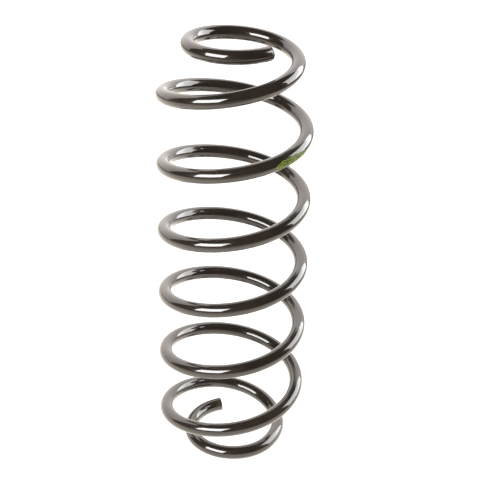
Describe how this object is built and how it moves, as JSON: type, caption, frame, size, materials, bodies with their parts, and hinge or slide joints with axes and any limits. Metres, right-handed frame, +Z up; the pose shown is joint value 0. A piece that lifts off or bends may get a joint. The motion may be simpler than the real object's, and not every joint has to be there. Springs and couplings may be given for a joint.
{
  "type": "coil spring",
  "caption": "Helical suspension compression spring of round bar with a small pigtail end coil at each end; carries a vehicle's weight between two seats.",
  "frame": {"origin": "on the coil axis, at the floor under the lower end coil, at the centre of the bottom of the bounding box", "axes": "+Z up along the coil axis, through the bore; -Y towards the viewer's side; the bar climbs anticlockwise seen from above"},
  "size_m": [0.1364, 0.1364, 0.4002],
  "materials": {
    "coating": "gloss black baked coating over shot-peened spring steel"
  },
  "bodies": {
    "lower_end_coil": {"lower_pigtail_end": "coating", "lower_seat_coil_front": "coating", "lower_transition_right": "coating"},
    "active_coil_1_back": {"active_coil_1_back": "coating"},
    "active_coil_1_left": {"active_coil_1_left": "coating"},
    "active_coil_1_front": {"active_coil_1_front": "coating"},
    "active_coil_1_right": {"active_coil_1_right": "coating"},
    "active_coil_2_back": {"active_coil_2_back": "coating"},
    "active_coil_2_left": {"active_coil_2_left": "coating"},
    "active_coil_2_front": {"active_coil_2_front": "coating"},
    "active_coil_2_right": {"active_coil_2_right": "coating"},
    "active_coil_3_back": {"active_coil_3_back": "coating"},
    "active_coil_3_left": {"active_coil_3_left": "coating"},
    "active_coil_3_front": {"active_coil_3_front": "coating"},
    "active_coil_3_right": {"active_coil_3_right": "coating"},
    "active_coil_4_back": {"active_coil_4_back": "coating"},
    "active_coil_4_left": {"active_coil_4_left": "coating"},
    "active_coil_4_front": {"active_coil_4_front": "coating"},
    "active_coil_4_right": {"active_coil_4_right": "coating"},
    "active_coil_5_back": {"active_coil_5_back": "coating"},
    "active_coil_5_left": {"active_coil_5_left": "coating"},
    "active_coil_5_front": {"active_coil_5_front": "coating"},
    "active_coil_5_right": {"active_coil_5_right": "coating"},
    "active_coil_6_back": {"active_coil_6_back": "coating"},
    "active_coil_6_left": {"active_coil_6_left": "coating"},
    "active_coil_6_front": {"active_coil_6_front": "coating"},
    "active_coil_6_right": {"active_coil_6_right": "coating"},
    "upper_transition_back": {"upper_transition_back": "coating"},
    "upper_end_coil": {"upper_seat_coil_left": "coating", "upper_pigtail_end": "coating"}
  },
  "joints": [
    {"name": "twist_active_coil_1_back", "type": "hinge", "parent": "lower_end_coil", "child": "active_coil_1_back", "pos_m": [0.03825, 0.03729, 0.0092], "axis": [0.5312, -0.8322, -0.1593], "range_deg": [0, 1], "stiffness_Nm_per_rad": 442},
    {"name": "twist_active_coil_1_left", "type": "hinge", "parent": "active_coil_1_back", "child": "active_coil_1_left", "pos_m": [-0.04384, 0.04384, 0.02498], "axis": [0.6979, 0.6979, -0.1609], "range_deg": [0, 3], "stiffness_Nm_per_rad": 385},
    {"name": "twist_active_coil_1_front", "type": "hinge", "parent": "active_coil_1_left", "child": "active_coil_1_front", "pos_m": [-0.04384, -0.04384, 0.04086], "axis": [-0.6979, 0.6979, -0.1609], "range_deg": [0, 5], "stiffness_Nm_per_rad": 385},
    {"name": "twist_active_coil_1_right", "type": "hinge", "parent": "active_coil_1_front", "child": "active_coil_1_right", "pos_m": [0.04384, -0.04384, 0.05673], "axis": [-0.6979, -0.6979, -0.1609], "range_deg": [0, 7], "stiffness_Nm_per_rad": 385},
    {"name": "twist_active_coil_2_back", "type": "hinge", "parent": "active_coil_1_right", "child": "active_coil_2_back", "pos_m": [0.04384, 0.04384, 0.07261], "axis": [0.6979, -0.6979, -0.1609], "range_deg": [0, 8], "stiffness_Nm_per_rad": 385},
    {"name": "twist_active_coil_2_left", "type": "hinge", "parent": "active_coil_2_back", "child": "active_coil_2_left", "pos_m": [-0.04384, 0.04384, 0.08848], "axis": [0.6979, 0.6979, -0.1608], "range_deg": [0, 8], "stiffness_Nm_per_rad": 385},
    {"name": "twist_active_coil_2_front", "type": "hinge", "parent": "active_coil_2_left", "child": "active_coil_2_front", "pos_m": [-0.04384, -0.04384, 0.10436], "axis": [-0.6979, 0.6979, -0.1609], "range_deg": [0, 8], "stiffness_Nm_per_rad": 385},
    {"name": "twist_active_coil_2_right", "type": "hinge", "parent": "active_coil_2_front", "child": "active_coil_2_right", "pos_m": [0.04384, -0.04384, 0.12023], "axis": [-0.6979, -0.6979, -0.1608], "range_deg": [0, 8], "stiffness_Nm_per_rad": 385},
    {"name": "twist_active_coil_3_back", "type": "hinge", "parent": "active_coil_2_right", "child": "active_coil_3_back", "pos_m": [0.04384, 0.04384, 0.13611], "axis": [0.6979, -0.6979, -0.1608], "range_deg": [0, 8], "stiffness_Nm_per_rad": 385},
    {"name": "twist_active_coil_3_left", "type": "hinge", "parent": "active_coil_3_back", "child": "active_coil_3_left", "pos_m": [-0.04384, 0.04384, 0.15198], "axis": [0.6979, 0.6979, -0.1608], "range_deg": [0, 8], "stiffness_Nm_per_rad": 385},
    {"name": "twist_active_coil_3_front", "type": "hinge", "parent": "active_coil_3_left", "child": "active_coil_3_front", "pos_m": [-0.04384, -0.04384, 0.16786], "axis": [-0.6979, 0.6979, -0.1608], "range_deg": [0, 8], "stiffness_Nm_per_rad": 385},
    {"name": "twist_active_coil_3_right", "type": "hinge", "parent": "active_coil_3_front", "child": "active_coil_3_right", "pos_m": [0.04384, -0.04384, 0.18373], "axis": [-0.6979, -0.6979, -0.1608], "range_deg": [0, 8], "stiffness_Nm_per_rad": 385},
    {"name": "compression", "type": "hinge", "parent": "active_coil_3_right", "child": "active_coil_4_back", "pos_m": [0.04384, 0.04384, 0.19961], "axis": [0.6979, -0.6979, -0.161], "range_deg": [0, 8], "stiffness_Nm_per_rad": 385},
    {"name": "twist_active_coil_4_left", "type": "hinge", "parent": "active_coil_4_back", "child": "active_coil_4_left", "pos_m": [-0.04384, 0.04384, 0.21548], "axis": [0.6979, 0.6979, -0.1608], "range_deg": [0, 8], "stiffness_Nm_per_rad": 385},
    {"name": "twist_active_coil_4_front", "type": "hinge", "parent": "active_coil_4_left", "child": "active_coil_4_front", "pos_m": [-0.04384, -0.04384, 0.23136], "axis": [-0.6979, 0.6979, -0.1608], "range_deg": [0, 8], "stiffness_Nm_per_rad": 385},
    {"name": "twist_active_coil_4_right", "type": "hinge", "parent": "active_coil_4_front", "child": "active_coil_4_right", "pos_m": [0.04384, -0.04384, 0.24723], "axis": [-0.6979, -0.6979, -0.1608], "range_deg": [0, 8], "stiffness_Nm_per_rad": 385},
    {"name": "twist_active_coil_5_back", "type": "hinge", "parent": "active_coil_4_right", "child": "active_coil_5_back", "pos_m": [0.04384, 0.04384, 0.26311], "axis": [0.6979, -0.6979, -0.1608], "range_deg": [0, 8], "stiffness_Nm_per_rad": 385},
    {"name": "twist_active_coil_5_left", "type": "hinge", "parent": "active_coil_5_back", "child": "active_coil_5_left", "pos_m": [-0.04384, 0.04384, 0.27898], "axis": [0.6979, 0.6979, -0.1608], "range_deg": [0, 8], "stiffness_Nm_per_rad": 385},
    {"name": "twist_active_coil_5_front", "type": "hinge", "parent": "active_coil_5_left", "child": "active_coil_5_front", "pos_m": [-0.04384, -0.04384, 0.29486], "axis": [-0.6979, 0.6979, -0.1608], "range_deg": [0, 8], "stiffness_Nm_per_rad": 385},
    {"name": "twist_active_coil_5_right", "type": "hinge", "parent": "active_coil_5_front", "child": "active_coil_5_right", "pos_m": [0.04384, -0.04384, 0.31073], "axis": [-0.6979, -0.6979, -0.1612], "range_deg": [0, 8], "stiffness_Nm_per_rad": 385},
    {"name": "twist_active_coil_6_back", "type": "hinge", "parent": "active_coil_5_right", "child": "active_coil_6_back", "pos_m": [0.04384, 0.04384, 0.32661], "axis": [0.6979, -0.6979, -0.1608], "range_deg": [0, 8], "stiffness_Nm_per_rad": 385},
    {"name": "twist_active_coil_6_left", "type": "hinge", "parent": "active_coil_6_back", "child": "active_coil_6_left", "pos_m": [-0.04384, 0.04384, 0.34248], "axis": [0.6979, 0.6979, -0.1608], "range_deg": [0, 8], "stiffness_Nm_per_rad": 385},
    {"name": "twist_active_coil_6_front", "type": "hinge", "parent": "active_coil_6_left", "child": "active_coil_6_front", "pos_m": [-0.04269, -0.04269, 0.35836], "axis": [-0.7231, 0.6708, -0.1649], "range_deg": [0, 7.8], "stiffness_Nm_per_rad": 396},
    {"name": "twist_active_coil_6_right", "type": "hinge", "parent": "active_coil_6_front", "child": "active_coil_6_right", "pos_m": [0.03919, -0.03919, 0.37405], "axis": [-0.6471, -0.7436, -0.1683], "range_deg": [0, 5.8], "stiffness_Nm_per_rad": 430},
    {"name": "twist_upper_transition_back", "type": "hinge", "parent": "active_coil_6_right", "child": "upper_transition_back", "pos_m": [0.03457, 0.03457, 0.38656], "axis": [0.7604, -0.6376, -0.1233], "range_deg": [0, 3.8], "stiffness_Nm_per_rad": 489},
    {"name": "twist_upper_end_coil", "type": "hinge", "parent": "upper_transition_back", "child": "upper_end_coil", "pos_m": [-0.03008, 0.03008, 0.39288], "axis": [0.6441, 0.7634, -0.0483], "range_deg": [0, 1.8], "stiffness_Nm_per_rad": 565}
  ],
  "couplings": [
    {"joint": "twist_active_coil_1_back", "follows": "compression", "ratio": 0.125},
    {"joint": "twist_active_coil_1_left", "follows": "compression", "ratio": 0.375},
    {"joint": "twist_active_coil_1_front", "follows": "compression", "ratio": 0.625},
    {"joint": "twist_active_coil_1_right", "follows": "compression", "ratio": 0.875},
    {"joint": "twist_active_coil_2_back", "follows": "compression", "ratio": 1},
    {"joint": "twist_active_coil_2_left", "follows": "compression", "ratio": 1},
    {"joint": "twist_active_coil_2_front", "follows": "compression", "ratio": 1},
    {"joint": "twist_active_coil_2_right", "follows": "compression", "ratio": 1},
    {"joint": "twist_active_coil_3_back", "follows": "compression", "ratio": 1},
    {"joint": "twist_active_coil_3_left", "follows": "compression", "ratio": 1},
    {"joint": "twist_active_coil_3_front", "follows": "compression", "ratio": 1},
    {"joint": "twist_active_coil_3_right", "follows": "compression", "ratio": 1},
    {"joint": "twist_active_coil_4_left", "follows": "compression", "ratio": 1},
    {"joint": "twist_active_coil_4_front", "follows": "compression", "ratio": 1},
    {"joint": "twist_active_coil_4_right", "follows": "compression", "ratio": 1},
    {"joint": "twist_active_coil_5_back", "follows": "compression", "ratio": 1},
    {"joint": "twist_active_coil_5_left", "follows": "compression", "ratio": 1},
    {"joint": "twist_active_coil_5_front", "follows": "compression", "ratio": 1},
    {"joint": "twist_active_coil_5_right", "follows": "compression", "ratio": 1},
    {"joint": "twist_active_coil_6_back", "follows": "compression", "ratio": 1},
    {"joint": "twist_active_coil_6_left", "follows": "compression", "ratio": 1},
    {"joint": "twist_active_coil_6_front", "follows": "compression", "ratio": 0.975},
    {"joint": "twist_active_coil_6_right", "follows": "compression", "ratio": 0.725},
    {"joint": "twist_upper_transition_back", "follows": "compression", "ratio": 0.475},
    {"joint": "twist_upper_end_coil", "follows": "compression", "ratio": 0.225}
  ]
}
